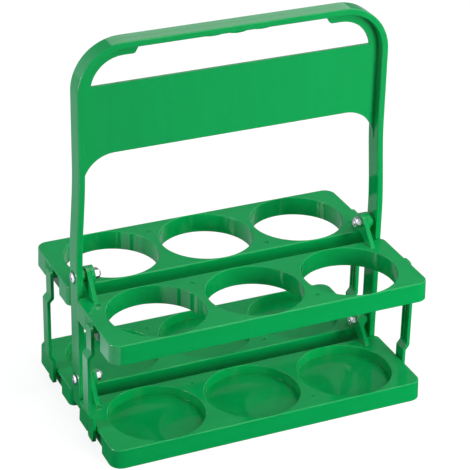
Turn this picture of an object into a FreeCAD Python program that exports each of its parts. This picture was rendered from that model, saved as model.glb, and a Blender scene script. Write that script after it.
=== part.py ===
import FreeCAD, Part

import math
import os

from FreeCAD import Vector

# Foldable carrier for six bottles, all sizes in millimetres.
# X runs along the carrier, the front is -Y, Z is up and z = 0 is the floor.
# The front racks and trays are modelled once; the rear ones are the same
# mouldings turned half a turn about Z.

os.makedirs("parts", exist_ok=True)

# Bottle holes: the plates and the frame are laid out round them
HOLE_R = 47.5
HOLE_COUNT = 3
HOLE_WEB = 6.5
HOLE_SIDE_MARGIN = 2.0
HOLE_END_MARGIN = 16.0

# Plates: the racks and the trays share one outline
PLATE_OVERHANG = 2.5
PLATE_HEIGHT = 20.0
RACK_TOP_Z = 134.0
TRAY_TOP_Z = PLATE_HEIGHT
SKIN = 2.5
OUTER_CORNER_R = 12.0
INNER_CORNER_R = 6.0
DRAFT_INSET = 0.6
TOP_EDGE_R = 1.2

# Walls round the holes, cups and marks of the mould
TUBE_WALL = 2.2
RIM_CHAMFER = 0.6
CUP_DEPTH = 10.5
CUP_FLOOR = 2.2
DIMPLE_R = 2.7
DIMPLE_DEPTH = 0.9
DIMPLE_FROM_INNER = 14.0
DIMPLE_FROM_OUTER = 19.0
DIMPLE_BY_EAR = 4.3

# Leg, handle grip and panel
LEG_DEPTH = 20.0
LEG_THICKNESS = 6.5
LEG_GAP = 0.3
LEG_BOTTOM_Z = 8.5
HANDLE_TOP_Z = 387.0
HANDLE_CORNER_R = 48.0
LEG_SPLAY = 4.2
SPLAY_DROP = 122.0
SPLAY_RUN = 100.0
FRAME_EDGE_R = 1.2
WEB_THICKNESS = 2.8
WEB_RIM = 9.3
WEB_FILLET_R = 32.0
HAND_ROOM = 42.5
PANEL_HEIGHT = 69.0
GRIP_STEP_INSET = 16.8
GRIP_STEP_RUN = 5.5
GRIP_STEP_R = 3.0
FINGER_RIDGES = ((-24.5, 0.8), (0.0, 1.3), (24.5, 0.8))
FINGER_RIDGE_WIDTH = 18.0

# Pivots of the plates on the legs
RACK_PIVOT_RISE = 17.0
SCREW_R = 3.0
RUNNING_CLEARANCE = 0.08
SEAT_CLEARANCE = 0.1
SIDE_GAP = 0.3
BOSS_R = 6.2
BOSS_HEIGHT = 4.4
EAR_THICKNESS = 4.0
EAR_EYE_R = 9.0
EAR_FOOT_Y = 26.5
SCREW_HEAD_R = 5.25
SCREW_HEAD_HEIGHT = 3.6
SCREW_DOME_RISE = 1.9
SCREW_RECESS_R = 6.9
SCREW_RECESS_DEPTH = 1.0
SCREW_PROTRUSION = 1.3
SCREW_END_CHAMFER = 0.8
SOCKET_FLATS = 4.0
SOCKET_DEPTH = 1.6
NUT_FLATS = 10.0
NUT_THICKNESS = 6.0
NUT_COLLAR = 1.2

# Links that keep each tray parallel to its rack
LINK_BEFORE_HOLE = 2.8
LINK_WIDTH = 14.0
LINK_THICKNESS = 3.3
LINK_JOGGLE = 4.0
LINK_WALL_GAP = 0.5
LINK_PIVOT_DROP = 9.0
LINK_END_ABOVE = 6.0
LINK_END_BELOW = 7.0
LINK_CORNER_R = 3.0
LINK_UPPER_JOGGLE_Z = (103.0, 99.0)
LINK_LOWER_JOGGLE_Z = (35.0, 30.0)
LINK_CHANNEL_WIDTH = 8.6
LINK_CHANNEL_DEPTH = 1.0
LINK_CHANNEL_MARGIN = 4.0
LINK_RIB_WIDTH = 1.4
LINK_BEND_SHIFT = 1.5
LINK_BEND_R = 3.0
LINK_SHOULDER = 0.7
LINK_SLOT_WIDTH = 1.2
LINK_PIN_R = 3.0
LINK_HEAD_R = 3.8
LINK_HEAD_TIP_R = 2.4
LINK_HEAD_LENGTH = 3.0
OPEN_PIVOT_CLEARANCE = 0.35

# Pockets of the end walls, behind the links
POCKET_DEPTH = 4.0
POCKET_FLOOR_HALF = 13.0
POCKET_MOUTH_HALF = 21.0
POCKET_COVER = 3.0
POCKET_EDGE_R = 1.5

# Places that follow from the sizes above
HOLE_PITCH = 2.0 * HOLE_R + HOLE_WEB
PLATE_DEPTH = 2.0 * (HOLE_R + HOLE_SIDE_MARGIN)
HALF_LENGTH = HOLE_PITCH * (HOLE_COUNT - 1) / 2.0 + HOLE_R + HOLE_END_MARGIN
LOWER_HALF_SPAN = HALF_LENGTH - PLATE_OVERHANG
UPPER_HALF_SPAN = LOWER_HALF_SPAN - LEG_SPLAY
SPLAY_TOP_Z = HANDLE_TOP_Z - SPLAY_DROP
SPLAY_END_Z = SPLAY_TOP_Z - SPLAY_RUN
PANEL_TOP_Z = HANDLE_TOP_Z - HAND_ROOM
PANEL_BOTTOM_Z = PANEL_TOP_Z - PANEL_HEIGHT
GRIP_HALF_WIDTH = UPPER_HALF_SPAN - HANDLE_CORNER_R - GRIP_STEP_INSET
INNER_Y = LEG_DEPTH / 2.0 + LEG_GAP
OUTER_Y = INNER_Y + PLATE_DEPTH
HOLE_Y = (INNER_Y + OUTER_Y) / 2.0
LINK_Y = HOLE_Y - LINK_BEFORE_HOLE
RACK_PIVOT_Z = RACK_TOP_Z + RACK_PIVOT_RISE
TRAY_PIVOT_Z = TRAY_TOP_Z + RACK_PIVOT_RISE
LINK_UPPER_Z = RACK_TOP_Z - LINK_PIVOT_DROP
LINK_LOWER_Z = TRAY_TOP_Z - LINK_PIVOT_DROP
BOSS_FACE_X = LOWER_HALF_SPAN - LEG_THICKNESS - BOSS_HEIGHT
OUTBOARD_EAR_X = BOSS_FACE_X - SIDE_GAP
INBOARD_EAR_X = OUTBOARD_EAR_X - EAR_THICKNESS - SIDE_GAP
NUT_FACE_X = INBOARD_EAR_X - EAR_THICKNESS - SIDE_GAP
SCREW_END_X = NUT_FACE_X - NUT_THICKNESS - SCREW_PROTRUSION
LINK_INNER_X = HALF_LENGTH + LINK_WALL_GAP
POCKET_FLOOR_X = HALF_LENGTH - POCKET_DEPTH


def fillet_corner(before, corner, after, radius):
    """Return the two tangent points and the middle point of a rounded corner."""
    to_before = (before - corner).normalize()
    to_after = (after - corner).normalize()
    half_angle = to_before.getAngle(to_after) / 2.0
    run = radius / math.tan(half_angle)
    start = corner + to_before * run
    end = corner + to_after * run
    bisector = (to_before + to_after).normalize()
    centre = corner + bisector * (radius / math.sin(half_angle))
    middle = centre - bisector * radius
    return start, middle, end


def rounded_face(corners):
    """Make a flat face from (point, radius) corners, in order around it."""
    count = len(corners)
    stops = []
    for index, (point, radius) in enumerate(corners):
        if radius <= 0.0:
            stops.append((point, None, point))
            continue
        before = corners[index - 1][0]
        after = corners[(index + 1) % count][0]
        stops.append(fillet_corner(before, point, after, radius))
    edges = []
    for index, (start, middle, end) in enumerate(stops):
        if middle is not None:
            edges.append(Part.Arc(start, middle, end).toShape())
        following = stops[(index + 1) % count][0]
        if end.distanceToPoint(following) > 1e-6:
            edges.append(Part.makeLine(end, following))
    return Part.Face(Part.Wire(edges))


def prism_along_x(corners, x_low, x_high):
    """Extrude (y, z, radius) corners along X."""
    points = [(Vector(x_low, y, z), radius) for y, z, radius in corners]
    return rounded_face(points).extrude(Vector(x_high - x_low, 0, 0))


def prism_along_y(corners, y_low, y_high):
    """Extrude (x, z, radius) corners along Y."""
    points = [(Vector(x, y_low, z), radius) for x, z, radius in corners]
    return rounded_face(points).extrude(Vector(0, y_high - y_low, 0))


def box(x_low, x_high, y_low, y_high, z_low, z_high):
    """Make a box from its six limits."""
    corner = Vector(x_low, y_low, z_low)
    return Part.makeBox(x_high - x_low, y_high - y_low, z_high - z_low, corner)


def cylinder_x(radius, x_low, x_high, y, z):
    """Make a cylinder along X between two x values."""
    return Part.makeCylinder(radius, x_high - x_low, Vector(x_low, y, z), Vector(1, 0, 0))


def cone_x(radius_low, radius_high, x_low, x_high, y, z):
    """Make a cone along X between two x values."""
    base = Vector(x_low, y, z)
    return Part.makeCone(radius_low, radius_high, x_high - x_low, base, Vector(1, 0, 0))


def turned_half(shape):
    """Return a copy turned half a turn about the vertical axis."""
    turned = shape.copy()
    turned.rotate(Vector(0, 0, 0), Vector(0, 0, 1), 180)
    return turned


def mirrored_x(shape):
    """Return the mirror image across the plane x = 0."""
    return shape.mirror(Vector(0, 0, 0), Vector(1, 0, 0))


def mirrored_y(shape):
    """Return the mirror image across the plane y = 0."""
    return shape.mirror(Vector(0, 0, 0), Vector(0, 1, 0))


def on_surface_y(edge, y_abs):
    """Say whether both ends of an edge lie at one distance from y = 0."""
    return all(abs(abs(vertex.Y) - y_abs) < 1e-4 for vertex in edge.Vertexes)


# The plates

def plate_outline(z, inset):
    """Front plate outline at a height, moved inward by an inset."""
    x_end = HALF_LENGTH - inset
    y_inner = -(INNER_Y + inset)
    y_outer = -(OUTER_Y - inset)
    outer_r = OUTER_CORNER_R - inset
    inner_r = INNER_CORNER_R - inset
    corners = [
        (Vector(-x_end, y_outer, z), outer_r),
        (Vector(x_end, y_outer, z), outer_r),
        (Vector(x_end, y_inner, z), inner_r),
        (Vector(-x_end, y_inner, z), inner_r),
    ]
    return rounded_face(corners).OuterWire


def drafted_block(z_low, z_high, inset_low, inset_high):
    """Loft between two insets of the plate outline."""
    wires = [plate_outline(z_low, inset_low), plate_outline(z_high, inset_high)]
    return Part.makeLoft(wires, True, True)


def hole_centres():
    """Centres of the bottle positions of the front plate."""
    first = -HOLE_PITCH * (HOLE_COUNT - 1) / 2.0
    return [(first + index * HOLE_PITCH, -HOLE_Y) for index in range(HOLE_COUNT)]


def pocket_prism(z_low, z_high, growth):
    """Pocket of the left end wall; growth gives the wall behind it."""
    floor_x = -(POCKET_FLOOR_X - growth)
    mouth_x = -(HALF_LENGTH + 1.0)
    slope = (POCKET_MOUTH_HALF - POCKET_FLOOR_HALF) / POCKET_DEPTH
    floor_half = POCKET_FLOOR_HALF + growth / 2.0
    mouth_half = floor_half + slope * abs(floor_x - mouth_x)
    corners = [
        (Vector(floor_x, -LINK_Y - floor_half, z_low), POCKET_EDGE_R),
        (Vector(floor_x, -LINK_Y + floor_half, z_low), POCKET_EDGE_R),
        (Vector(mouth_x, -LINK_Y + mouth_half, z_low), 0.0),
        (Vector(mouth_x, -LINK_Y - mouth_half, z_low), 0.0),
    ]
    return rounded_face(corners).extrude(Vector(0, 0, z_high - z_low))


def ear(x_outer, top_z, side):
    """Pivot ear of the front plate; its outer face is at side * x_outer."""
    pivot_z = top_z + RACK_PIVOT_RISE
    root_z = top_z - PLATE_HEIGHT
    inner_foot = Vector(0, -INNER_Y - SKIN / 2.0, top_z)
    outer_foot = Vector(0, -EAR_FOOT_Y, top_z)
    centre = Vector(0, 0, pivot_z)

    def tangent_point(foot, turn):
        offset = foot - centre
        reach = offset.Length
        along = offset * (EAR_EYE_R ** 2 / reach ** 2)
        across = Vector(0, -offset.z, offset.y).normalize()
        height = EAR_EYE_R * math.sqrt(1.0 - (EAR_EYE_R / reach) ** 2)
        return centre + along + across * (height * turn)

    outer_touch = tangent_point(outer_foot, -1.0)
    inner_touch = tangent_point(inner_foot, 1.0)
    crown = centre + (centre - (outer_foot + inner_foot) * 0.5).normalize() * EAR_EYE_R
    outer_root = Vector(0, -EAR_FOOT_Y, root_z + SKIN)
    inner_root = Vector(0, -INNER_Y - SKIN / 2.0, root_z + SKIN)
    edges = [
        Part.makeLine(inner_root, inner_foot),
        Part.makeLine(inner_foot, inner_touch),
        Part.Arc(inner_touch, crown, outer_touch).toShape(),
        Part.makeLine(outer_touch, outer_foot),
        Part.makeLine(outer_foot, outer_root),
        Part.makeLine(outer_root, inner_root),
    ]
    x_low = min(side * x_outer, side * (x_outer - EAR_THICKNESS))
    face = Part.Face(Part.Wire(edges))
    face.translate(Vector(x_low, 0, 0))
    return face.extrude(Vector(EAR_THICKNESS, 0, 0))


def make_front_plate(top_z, has_cups):
    """Build a front rack (open holes) or a front tray (cups)."""
    bottom_z = top_z - PLATE_HEIGHT
    body = drafted_block(bottom_z, top_z, 0.0, DRAFT_INSET)
    top_edges = [
        edge for edge in body.Edges
        if all(abs(vertex.Z - top_z) < 1e-4 for vertex in edge.Vertexes)
    ]
    body = body.makeFillet(TOP_EDGE_R, top_edges)

    cavity_top = top_z - SKIN
    cavity = drafted_block(bottom_z - 1.0, cavity_top, SKIN, SKIN + DRAFT_INSET)
    for x, y in hole_centres():
        tube = Part.makeCylinder(HOLE_R + TUBE_WALL, PLATE_HEIGHT + 2.0, Vector(x, y, bottom_z - 1.5))
        cavity = cavity.cut(tube)
    left_wall = pocket_prism(bottom_z - 2.0, top_z, SKIN)
    cavity = cavity.cut(left_wall).cut(mirrored_x(left_wall))
    body = body.cut(cavity)

    pocket = pocket_prism(bottom_z - 1.0, top_z - POCKET_COVER, 0.0)
    body = body.cut(pocket).cut(mirrored_x(pocket))

    body = body.fuse(ear(OUTBOARD_EAR_X, top_z, -1.0))
    body = body.fuse(ear(INBOARD_EAR_X, top_z, 1.0))

    for x, y in hole_centres():
        if has_cups:
            cup_floor_z = top_z - CUP_DEPTH
            under = bottom_z - 1.0
            body = body.cut(Part.makeCylinder(HOLE_R, CUP_DEPTH + 1.0, Vector(x, y, cup_floor_z)))
            hollow_height = cup_floor_z - CUP_FLOOR - under
            body = body.cut(Part.makeCylinder(HOLE_R, hollow_height, Vector(x, y, under)))
        else:
            hole = Part.makeCylinder(HOLE_R, PLATE_HEIGHT + 2.0, Vector(x, y, bottom_z - 1.0))
            body = body.cut(hole)
        rim_low = Vector(x, y, top_z - RIM_CHAMFER)
        rim_height = RIM_CHAMFER + 0.5
        body = body.cut(Part.makeCone(HOLE_R, HOLE_R + rim_height, rim_height, rim_low))

    dimples = [
        (-HOLE_PITCH / 2.0, -INNER_Y - DIMPLE_FROM_INNER),
        (HOLE_PITCH / 2.0, -OUTER_Y + DIMPLE_FROM_OUTER),
        (-OUTBOARD_EAR_X + EAR_THICKNESS / 2.0, -EAR_FOOT_Y - DIMPLE_BY_EAR),
    ]
    for x, y in dimples:
        spot = Vector(x, y, top_z - DIMPLE_DEPTH)
        body = body.cut(Part.makeCylinder(DIMPLE_R, DIMPLE_DEPTH + 1.0, spot))

    eye_r = SCREW_R + RUNNING_CLEARANCE
    pivot_z = top_z + RACK_PIVOT_RISE
    body = body.cut(cylinder_x(eye_r, -HALF_LENGTH + 5.0, HALF_LENGTH - 5.0, 0.0, pivot_z))

    link_clearance = OPEN_PIVOT_CLEARANCE if has_cups else RUNNING_CLEARANCE
    link_z = top_z - LINK_PIVOT_DROP
    wall_high = POCKET_FLOOR_X + 1.0
    wall_low = POCKET_FLOOR_X - SKIN - 1.0
    for x_low, x_high in ((-wall_high, -wall_low), (wall_low, wall_high)):
        body = body.cut(cylinder_x(LINK_PIN_R + link_clearance, x_low, x_high, -LINK_Y, link_z))
    return body


# The handle frame

def splay_edge(x_top, x_bottom, y):
    """Smooth S from the upper half span to the lower one."""
    curve = Part.BSplineCurve()
    points = [Vector(x_top, y, SPLAY_TOP_Z), Vector(x_bottom, y, SPLAY_END_Z)]
    down = Vector(0, 0, SPLAY_END_Z - SPLAY_TOP_Z)
    curve.interpolate(Points=points, InitialTangent=down, FinalTangent=down)
    return curve.toShape()


def frame_side(inset, y, sign):
    """Edges of one side of the frame outline, from the top down."""
    upper_x = sign * (UPPER_HALF_SPAN - inset)
    lower_x = sign * (LOWER_HALF_SPAN - inset)
    radius = HANDLE_CORNER_R - inset
    centre_x = sign * (UPPER_HALF_SPAN - HANDLE_CORNER_R)
    centre_z = HANDLE_TOP_Z - HANDLE_CORNER_R
    diagonal = radius * math.sqrt(0.5)
    corner_start = Vector(centre_x, y, centre_z + radius)
    corner_middle = Vector(centre_x + sign * diagonal, y, centre_z + diagonal)
    corner_end = Vector(upper_x, y, centre_z)
    return [
        Part.Arc(corner_start, corner_middle, corner_end).toShape(),
        Part.makeLine(corner_end, Vector(upper_x, y, SPLAY_TOP_Z)),
        splay_edge(upper_x, lower_x, y),
        Part.makeLine(Vector(lower_x, y, SPLAY_END_Z), Vector(lower_x, y, LEG_BOTTOM_Z)),
    ]


def frame_silhouette(inset, y):
    """Face inside the frame outline moved inward by an inset."""
    centre_x = UPPER_HALF_SPAN - HANDLE_CORNER_R
    top_z = HANDLE_TOP_Z - inset
    lower_x = LOWER_HALF_SPAN - inset
    top = Part.makeLine(Vector(-centre_x, y, top_z), Vector(centre_x, y, top_z))
    bottom = Part.makeLine(Vector(-lower_x, y, LEG_BOTTOM_Z), Vector(lower_x, y, LEG_BOTTOM_Z))
    sides = frame_side(inset, y, -1.0) + frame_side(inset, y, 1.0)
    edges = Part.__sortEdges__([top, bottom] + sides)
    return Part.Face(Part.Wire(edges))


def make_flange():
    """The bent strip that forms the grip and both legs."""
    half = LEG_DEPTH / 2.0
    outer = frame_silhouette(0.0, -half).extrude(Vector(0, LEG_DEPTH, 0))
    inner = frame_silhouette(LEG_THICKNESS, -half).extrude(Vector(0, LEG_DEPTH, 0))
    flange = outer.cut(inner)
    rim_edges = [
        edge for edge in flange.Edges
        if on_surface_y(edge, half) and edge.BoundBox.YLength < 1e-4
    ]
    return flange.makeFillet(FRAME_EDGE_R, rim_edges)


def make_web():
    """Thin sheet in the middle of the frame: panel, corner rims, fillets."""
    half = WEB_THICKNESS / 2.0
    inset = LEG_THICKNESS / 2.0
    sheet = frame_silhouette(inset, -half).extrude(Vector(0, WEB_THICKNESS, 0))

    rim = LEG_THICKNESS + WEB_RIM
    side_x = UPPER_HALF_SPAN - rim
    rim_z = HANDLE_TOP_Z - rim
    grip_z = HANDLE_TOP_Z - inset
    rim_r = HANDLE_CORNER_R - rim
    step_x = GRIP_HALF_WIDTH + GRIP_STEP_RUN
    hand_opening = prism_along_y([
        (-side_x, PANEL_BOTTOM_Z, 0.0),
        (side_x, PANEL_BOTTOM_Z, 0.0),
        (side_x, rim_z, rim_r),
        (step_x, rim_z, GRIP_STEP_R),
        (GRIP_HALF_WIDTH, HANDLE_TOP_Z - LEG_THICKNESS, 0.0),
        (GRIP_HALF_WIDTH, grip_z + 2.0, 0.0),
        (-GRIP_HALF_WIDTH, grip_z + 2.0, 0.0),
        (-GRIP_HALF_WIDTH, HANDLE_TOP_Z - LEG_THICKNESS, 0.0),
        (-step_x, rim_z, GRIP_STEP_R),
        (-side_x, rim_z, rim_r),
    ], -half - 1.0, half + 1.0)
    panel_room = box(-side_x - 1.0, side_x + 1.0, -LEG_DEPTH, LEG_DEPTH,
                     PANEL_BOTTOM_Z - 1.0, PANEL_TOP_Z)
    sheet = sheet.cut(hand_opening.cut(panel_room))

    inner_x = UPPER_HALF_SPAN - LEG_THICKNESS
    below = prism_along_y([
        (-inner_x, PANEL_BOTTOM_Z, WEB_FILLET_R),
        (inner_x, PANEL_BOTTOM_Z, WEB_FILLET_R),
        (inner_x, PANEL_BOTTOM_Z - WEB_FILLET_R - 0.5, 0.0),
        (LOWER_HALF_SPAN, PANEL_BOTTOM_Z - WEB_FILLET_R - 0.5, 0.0),
        (LOWER_HALF_SPAN, LEG_BOTTOM_Z - 1.0, 0.0),
        (-LOWER_HALF_SPAN, LEG_BOTTOM_Z - 1.0, 0.0),
        (-LOWER_HALF_SPAN, PANEL_BOTTOM_Z - WEB_FILLET_R - 0.5, 0.0),
        (-inner_x, PANEL_BOTTOM_Z - WEB_FILLET_R - 0.5, 0.0),
    ], -half - 1.0, half + 1.0)
    return sheet.cut(below)


def finger_ridges():
    """Low rounded ridges under the grip."""
    under_z = HANDLE_TOP_Z - LEG_THICKNESS
    half_depth = LEG_DEPTH / 2.0 - FRAME_EDGE_R
    half_width = FINGER_RIDGE_WIDTH / 2.0
    ridges = []
    for x, height in FINGER_RIDGES:
        left = Vector(x - half_width, -half_depth, under_z)
        right = Vector(x + half_width, -half_depth, under_z)
        crest = Vector(x, -half_depth, under_z - height)
        lift = Vector(0, 0, LEG_THICKNESS / 2.0)
        edges = [
            Part.Arc(left, crest, right).toShape(),
            Part.makeLine(right, right + lift),
            Part.makeLine(right + lift, left + lift),
            Part.makeLine(left + lift, left),
        ]
        face = Part.Face(Part.Wire(edges))
        ridges.append(face.extrude(Vector(0, 2.0 * half_depth, 0)))
    return ridges


def make_handle_frame():
    """Grip, legs, panel, pivot bosses and screw seats in one moulding."""
    frame = make_flange().fuse([make_web()] + finger_ridges())
    bosses = []
    for z in (RACK_PIVOT_Z, TRAY_PIVOT_Z):
        boss_end = LOWER_HALF_SPAN - LEG_THICKNESS / 2.0
        boss = cylinder_x(BOSS_R, BOSS_FACE_X, boss_end, 0.0, z)
        bosses.append(boss)
        bosses.append(mirrored_x(boss))
    frame = frame.fuse(bosses)
    seat_x = LOWER_HALF_SPAN - SCREW_RECESS_DEPTH
    for z in (RACK_PIVOT_Z, TRAY_PIVOT_Z):
        bore = cylinder_x(SCREW_R + SEAT_CLEARANCE, BOSS_FACE_X - 1.0, LOWER_HALF_SPAN + 1.0, 0.0, z)
        recess = cylinder_x(SCREW_RECESS_R, seat_x, LOWER_HALF_SPAN + 1.0, 0.0, z)
        cutter = bore.fuse(recess)
        frame = frame.cut(cutter).cut(mirrored_x(cutter))
    return frame.removeSplitter()


# Screws and nuts

def hex_prism(flats, x_low, x_high, z):
    """Hexagonal bar along X."""
    radius = flats / math.sqrt(3.0)
    corners = []
    for index in range(6):
        angle = math.radians(60.0 * index)
        corners.append((radius * math.cos(angle), z + radius * math.sin(angle), 0.0))
    return prism_along_x(corners, x_low, x_high)


def make_right_screw(z):
    """Button-head screw on the right side, head outward."""
    seat_x = LOWER_HALF_SPAN - SCREW_RECESS_DEPTH
    head_x = seat_x + SCREW_HEAD_HEIGHT
    edge_x = head_x - SCREW_DOME_RISE
    crown_r = SCREW_HEAD_R * 0.62
    shoulder_r = SCREW_HEAD_R * 0.9
    shoulder_x = edge_x + SCREW_DOME_RISE * 0.62
    profile = [
        Part.makeLine(Vector(seat_x, 0, z), Vector(seat_x, 0, z + SCREW_HEAD_R)),
        Part.makeLine(Vector(seat_x, 0, z + SCREW_HEAD_R), Vector(edge_x, 0, z + SCREW_HEAD_R)),
        Part.Arc(
            Vector(edge_x, 0, z + SCREW_HEAD_R),
            Vector(shoulder_x, 0, z + shoulder_r),
            Vector(head_x, 0, z + crown_r),
        ).toShape(),
        Part.makeLine(Vector(head_x, 0, z + crown_r), Vector(head_x, 0, z)),
        Part.makeLine(Vector(head_x, 0, z), Vector(seat_x, 0, z)),
    ]
    head = Part.Face(Part.Wire(profile)).revolve(Vector(0, 0, z), Vector(1, 0, 0), 360)
    chamfer_x = SCREW_END_X + SCREW_END_CHAMFER
    shank = cylinder_x(SCREW_R, chamfer_x, seat_x, 0.0, z)
    tip = cone_x(SCREW_R - SCREW_END_CHAMFER, SCREW_R, SCREW_END_X, chamfer_x, 0.0, z)
    socket = hex_prism(SOCKET_FLATS, head_x - SOCKET_DEPTH, head_x + 1.0, z)
    return head.fuse([shank, tip]).cut(socket).removeSplitter()


def make_right_nut(z):
    """Lock nut on the right side: hexagon with a round collar."""
    x_low = NUT_FACE_X - NUT_THICKNESS
    collar_x = x_low + NUT_COLLAR
    body = hex_prism(NUT_FLATS, collar_x, NUT_FACE_X, z)
    reach = NUT_FLATS / math.sqrt(3.0)
    flat_r = NUT_FLATS / 2.0
    height = (reach - flat_r + 0.4) * math.tan(math.radians(30.0))
    middle = cylinder_x(reach + 0.4, collar_x + height, NUT_FACE_X - height, 0.0, z)
    low_cone = cone_x(flat_r, reach + 0.4, collar_x, collar_x + height, 0.0, z)
    high_cone = cone_x(reach + 0.4, flat_r, NUT_FACE_X - height, NUT_FACE_X, 0.0, z)
    turned = middle.fuse([low_cone, high_cone])
    collar = cone_x(flat_r - 0.7, flat_r - 0.2, x_low, collar_x + 0.01, 0.0, z)
    nut = body.common(turned).fuse(collar)
    bore = cylinder_x(SCREW_R + SEAT_CLEARANCE / 2.0, x_low - 1.0, NUT_FACE_X + 1.0, 0.0, z)
    return nut.cut(bore).removeSplitter()


# The links

def make_front_right_link():
    """Joggled bar with a pin and a snap head at each end."""
    end_low = LINK_INNER_X
    end_high = LINK_INNER_X + LINK_THICKNESS
    mid_low = end_low + LINK_JOGGLE
    mid_high = end_high + LINK_JOGGLE
    top_z = LINK_UPPER_Z + LINK_END_ABOVE
    low_z = LINK_LOWER_Z - LINK_END_BELOW
    upper_from, upper_to = LINK_UPPER_JOGGLE_Z
    lower_from, lower_to = LINK_LOWER_JOGGLE_Z
    front_y = -LINK_Y - LINK_WIDTH / 2.0
    back_y = -LINK_Y + LINK_WIDTH / 2.0
    side_view = prism_along_y([
        (end_low, low_z - 1.0, 0.0),
        (end_high, low_z - 1.0, 0.0),
        (end_high, lower_to, LINK_BEND_R),
        (mid_high, lower_from, LINK_BEND_R),
        (mid_high, upper_to, LINK_BEND_R),
        (end_high, upper_from, LINK_BEND_R),
        (end_high, top_z + 1.0, 0.0),
        (end_low, top_z + 1.0, 0.0),
        (end_low, upper_from - LINK_BEND_SHIFT, LINK_BEND_R),
        (mid_low, upper_to - LINK_BEND_SHIFT, LINK_BEND_R),
        (mid_low, lower_from + LINK_BEND_SHIFT, LINK_BEND_R),
        (end_low, lower_to + LINK_BEND_SHIFT, LINK_BEND_R),
    ], front_y, back_y)
    front_view = prism_along_x([
        (front_y, low_z, LINK_CORNER_R),
        (back_y, low_z, LINK_CORNER_R),
        (back_y, top_z, LINK_CORNER_R),
        (front_y, top_z, LINK_CORNER_R),
    ], end_low - 1.0, mid_high + 1.0)
    bar = side_view.common(front_view)

    channel_low = lower_from + LINK_BEND_SHIFT + LINK_CHANNEL_MARGIN
    channel_high = upper_to - LINK_BEND_SHIFT - LINK_CHANNEL_MARGIN
    for side in (-1.0, 1.0):
        near = -LINK_Y + side * LINK_RIB_WIDTH / 2.0
        far = -LINK_Y + side * LINK_CHANNEL_WIDTH / 2.0
        groove = box(mid_low - 1.0, mid_low + LINK_CHANNEL_DEPTH, min(near, far), max(near, far),
                     channel_low, channel_high)
        bar = bar.cut(groove)

    wall_inner_x = POCKET_FLOOR_X - SKIN
    head_x = wall_inner_x - SIDE_GAP
    tip_x = head_x - LINK_HEAD_LENGTH
    pieces = []
    for z in (LINK_UPPER_Z, LINK_LOWER_Z):
        pieces.append(cylinder_x(LINK_PIN_R, head_x, end_low + 0.5, -LINK_Y, z))
        pieces.append(cylinder_x(LINK_HEAD_R, head_x - 0.8, head_x, -LINK_Y, z))
        pieces.append(cone_x(LINK_HEAD_TIP_R, LINK_HEAD_R, tip_x, head_x - 0.8, -LINK_Y, z))
        shoulder_x = POCKET_FLOOR_X + SIDE_GAP
        pieces.append(cylinder_x(LINK_PIN_R + LINK_SHOULDER, shoulder_x, end_low + 0.5, -LINK_Y, z))
    link = bar.fuse(pieces)
    for z in (LINK_UPPER_Z, LINK_LOWER_Z):
        slot = box(tip_x - 1.0, POCKET_FLOOR_X - SKIN, -LINK_Y - LINK_SLOT_WIDTH / 2.0,
                   -LINK_Y + LINK_SLOT_WIDTH / 2.0, z - LINK_HEAD_R - 1.0, z + LINK_HEAD_R + 1.0)
        link = link.cut(slot)
    return link.removeSplitter()


# Assembly

front_rack = make_front_plate(RACK_TOP_Z, False)
front_tray = make_front_plate(TRAY_TOP_Z, True)
front_right_link = make_front_right_link()
front_left_link = mirrored_x(front_right_link)

nodes = {
    "handle_frame": make_handle_frame(),
    "front_upper_rack": front_rack,
    "rear_upper_rack": turned_half(front_rack),
    "front_lower_tray": front_tray,
    "rear_lower_tray": turned_half(front_tray),
    "front_right_link": front_right_link,
    "front_left_link": front_left_link,
    "rear_right_link": mirrored_y(front_right_link),
    "rear_left_link": mirrored_y(front_left_link),
}
for level, pivot_z in (("upper", RACK_PIVOT_Z), ("lower", TRAY_PIVOT_Z)):
    right_screw = make_right_screw(pivot_z)
    right_nut = make_right_nut(pivot_z)
    nodes["right_" + level + "_screw"] = right_screw
    nodes["left_" + level + "_screw"] = mirrored_x(right_screw)
    nodes["right_" + level + "_nut"] = right_nut
    nodes["left_" + level + "_nut"] = mirrored_x(right_nut)

for name, shape in nodes.items():
    solids = shape.Solids
    if len(solids) != 1 or not solids[0].isValid():
        raise ValueError(name + " is not one valid solid: " + str(len(solids)))
    solids[0].exportStep("parts/" + name + ".step")
    bounds = solids[0].BoundBox
    print(name, "volume", round(solids[0].Volume / 1000.0, 1), "cm3", bounds)
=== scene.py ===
import logging
import math
from dataclasses import dataclass
from enum import Enum

import bmesh
import bpy
from mathutils import Matrix, Vector


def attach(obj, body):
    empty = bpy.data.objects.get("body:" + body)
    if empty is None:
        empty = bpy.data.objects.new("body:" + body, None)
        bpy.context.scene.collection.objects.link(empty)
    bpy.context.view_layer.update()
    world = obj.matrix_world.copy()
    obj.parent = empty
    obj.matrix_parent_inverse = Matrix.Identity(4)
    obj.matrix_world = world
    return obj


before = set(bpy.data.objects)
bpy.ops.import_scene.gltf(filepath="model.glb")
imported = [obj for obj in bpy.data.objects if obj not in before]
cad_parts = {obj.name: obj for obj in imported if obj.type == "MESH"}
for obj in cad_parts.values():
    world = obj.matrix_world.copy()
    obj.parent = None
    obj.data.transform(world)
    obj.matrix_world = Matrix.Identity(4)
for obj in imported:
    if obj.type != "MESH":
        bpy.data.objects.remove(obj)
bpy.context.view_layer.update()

log = logging.getLogger("bottle_carrier")

# Everything is in metres: X runs along the carrier, the front is -Y and the
# floor is at z = 0. MM turns a size in millimetres into metres.
MM = 0.001
# Corners of a new piece that lie closer than this become one.
MERGE_REACH = 0.001 * MM
# Edges of a new piece that turn more than this stay sharp.
SHARP_ANGLE = math.radians(32.0)

Colour = tuple[float, float, float]
Point = tuple[float, float, float]
# Where a range of values begins and ends.
Span = tuple[float, float]
# Where a range of values begins and ends, and the results there.
Ramp = tuple[float, float, float, float]


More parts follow.
